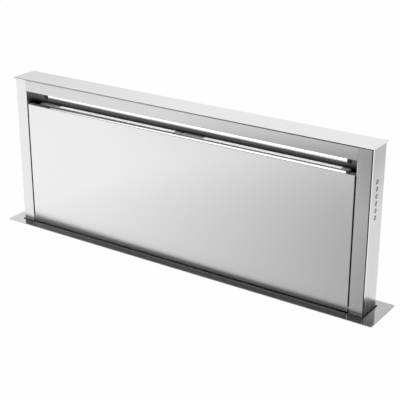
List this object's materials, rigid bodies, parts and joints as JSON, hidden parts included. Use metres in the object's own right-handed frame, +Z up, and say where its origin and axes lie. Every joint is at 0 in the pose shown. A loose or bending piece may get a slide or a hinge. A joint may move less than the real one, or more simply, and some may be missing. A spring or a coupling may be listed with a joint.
{
  "type": "downdraft vent",
  "caption": "Pop-up downdraft extractor with a brushed steel tower, hinged front panel, intake slot with light strip, side keys, filters, lift drive, blower and duct collar",
  "frame": {"origin": "centre of the worktop cut-out, on the worktop's top surface, where the flange's gasket seats", "axes": "+Z up, the front panel faces -Y, the control keys are on the +X side"},
  "size_m": [0.88, 0.2696, 1.0693],
  "materials": {
    "outer_steel": "fine satin brushed stainless steel",
    "flange_steel": "polished stainless steel",
    "casing_steel": "zinc-plated sheet steel",
    "inner_steel": "dark painted sheet steel",
    "seal_rubber": "matt black",
    "gasket_foam": "closed-cell foam tape",
    "filter_frame": "satin anodised",
    "filter_mesh": "expanded mesh",
    "lens_plastic": "opal, ribbed",
    "lamp_board": "white circuit board",
    "key_plastic": "black key cap",
    "black_plastic": "moulded",
    "board_green": "circuit board",
    "magnet": "plain",
    "nut_bronze": "machined",
    "slide_nylon": "white nylon",
    "rail_aluminium": "drawn",
    "screw_steel": "turned",
    "zinc_hardware": "zinc-plated",
    "belt_rubber": "moulded",
    "motor_paint": "dark paint",
    "fan_plastic": "moulded",
    "duct_plastic": "moulded"
  },
  "bodies": {
    "casing": {"bearing_blocks": "rail_aluminium", "blower_box": "casing_steel", "blower_motor": "motor_paint", "blower_scroll": "casing_steel", "cable_gland": "black_plastic", "case_back": "casing_steel", "case_front": "casing_steel", "case_sides_and_floor": "casing_steel", "clamp_brackets": "casing_steel", "clamp_screws": "zinc_hardware", "drive_belt": "belt_rubber", "duct_collar": "duct_plastic", "flange_gasket": "gasket_foam", "flap_pin": "screw_steel", "gearmotor_clamp": "casing_steel", "guide_rails": "rail_aluminium", "inlet_ring": "black_plastic", "levelling_feet": "zinc_hardware", "lift_gearmotor": "motor_paint", "mains_box": "black_plastic", "mains_box_lid": "black_plastic", "power_board": "board_green", "screw_bearings": "screw_steel", "wiper_seal": "seal_rubber", "worktop_flange": "flange_steel"},
    "tower": {"left_stile": "outer_steel", "right_stile": "outer_steel", "head_rail": "outer_steel", "cap_plate": "outer_steel", "back_panel": "outer_steel", "back_panel_screws": "zinc_hardware", "base_rail": "outer_steel", "panel_pivot_pins": "screw_steel", "magnet_catches": "magnet", "filter_frames": "filter_frame", "filter_meshes": "filter_mesh", "light_housing": "inner_steel", "light_diffuser": "lens_plastic", "led_strip": "lamp_board", "key_guide": "black_plastic", "key_board": "board_green", "nut_carriers": "slide_nylon", "lead_nuts": "nut_bronze", "slide_shoes": "slide_nylon"},
    "panel": {"front_panel": "outer_steel"},
    "left_drive": {"left_lead_screw": "screw_steel", "shaft_coupling": "rail_aluminium"},
    "right_drive": {"right_lead_screw": "screw_steel"},
    "fan": {"impeller": "fan_plastic", "impeller_shaft": "screw_steel"},
    "front_flap": {"front_check_flap": "duct_plastic"},
    "rear_flap": {"rear_check_flap": "duct_plastic"},
    "key_1_body": {"key_1": "key_plastic"},
    "key_2_body": {"key_2": "key_plastic"},
    "key_3_body": {"key_3": "key_plastic"},
    "key_4_body": {"key_4": "key_plastic"},
    "key_5_body": {"key_5": "key_plastic"},
    "key_6_body": {"key_6": "key_plastic"}
  },
  "joints": [
    {"name": "tower_lift", "type": "slide", "parent": "casing", "child": "tower", "axis": [0, 0, 1], "range_m": [-0.32, 0]},
    {"name": "panel_tilt", "type": "hinge", "parent": "tower", "child": "panel", "pos_m": [0, -0.022, 0.0113], "axis": [1, 0, 0], "range_deg": [0, 18]},
    {"name": "left_screw_spin", "type": "hinge", "parent": "casing", "child": "left_drive", "pos_m": [-0.39725, 0.014, -0.3], "axis": [0, 0, 1], "range_deg": [-1, 7201]},
    {"name": "right_screw_spin", "type": "hinge", "parent": "casing", "child": "right_drive", "pos_m": [0.39725, 0.014, -0.3], "axis": [0, 0, 1], "range_deg": [-1, 7201]},
    {"name": "fan_spin", "type": "hinge", "parent": "casing", "child": "fan", "pos_m": [-0.025, -0.1172, -0.56], "axis": [0, 1, 0], "continuous": true},
    {"name": "front_flap_swing", "type": "hinge", "parent": "casing", "child": "front_flap", "pos_m": [0.1932, -0.1172, -0.47738], "axis": [0, 0, 1], "range_deg": [0, 75], "stiffness_Nm_per_rad": 0.02},
    {"name": "rear_flap_swing", "type": "hinge", "parent": "casing", "child": "rear_flap", "pos_m": [0.1932, -0.1172, -0.47738], "axis": [0, 0, -1], "range_deg": [0, 75], "stiffness_Nm_per_rad": 0.02},
    {"name": "key_1_press", "type": "slide", "parent": "tower", "child": "key_1_body", "axis": [-1, 0, 0], "range_m": [0, 0.001], "stiffness_N_per_m": 400},
    {"name": "key_2_press", "type": "slide", "parent": "tower", "child": "key_2_body", "axis": [-1, 0, 0], "range_m": [0, 0.001], "stiffness_N_per_m": 400},
    {"name": "key_3_press", "type": "slide", "parent": "tower", "child": "key_3_body", "axis": [-1, 0, 0], "range_m": [0, 0.001], "stiffness_N_per_m": 400},
    {"name": "key_4_press", "type": "slide", "parent": "tower", "child": "key_4_body", "axis": [-1, 0, 0], "range_m": [0, 0.001], "stiffness_N_per_m": 400},
    {"name": "key_5_press", "type": "slide", "parent": "tower", "child": "key_5_body", "axis": [-1, 0, 0], "range_m": [0, 0.001], "stiffness_N_per_m": 400},
    {"name": "key_6_press", "type": "slide", "parent": "tower", "child": "key_6_body", "axis": [-1, 0, 0], "range_m": [0, 0.001], "stiffness_N_per_m": 400}
  ],
  "couplings": [
    {"joint": "left_screw_spin", "follows": "tower_lift", "rad_per_m": -392.7},
    {"joint": "right_screw_spin", "follows": "tower_lift", "rad_per_m": -392.7}
  ]
}
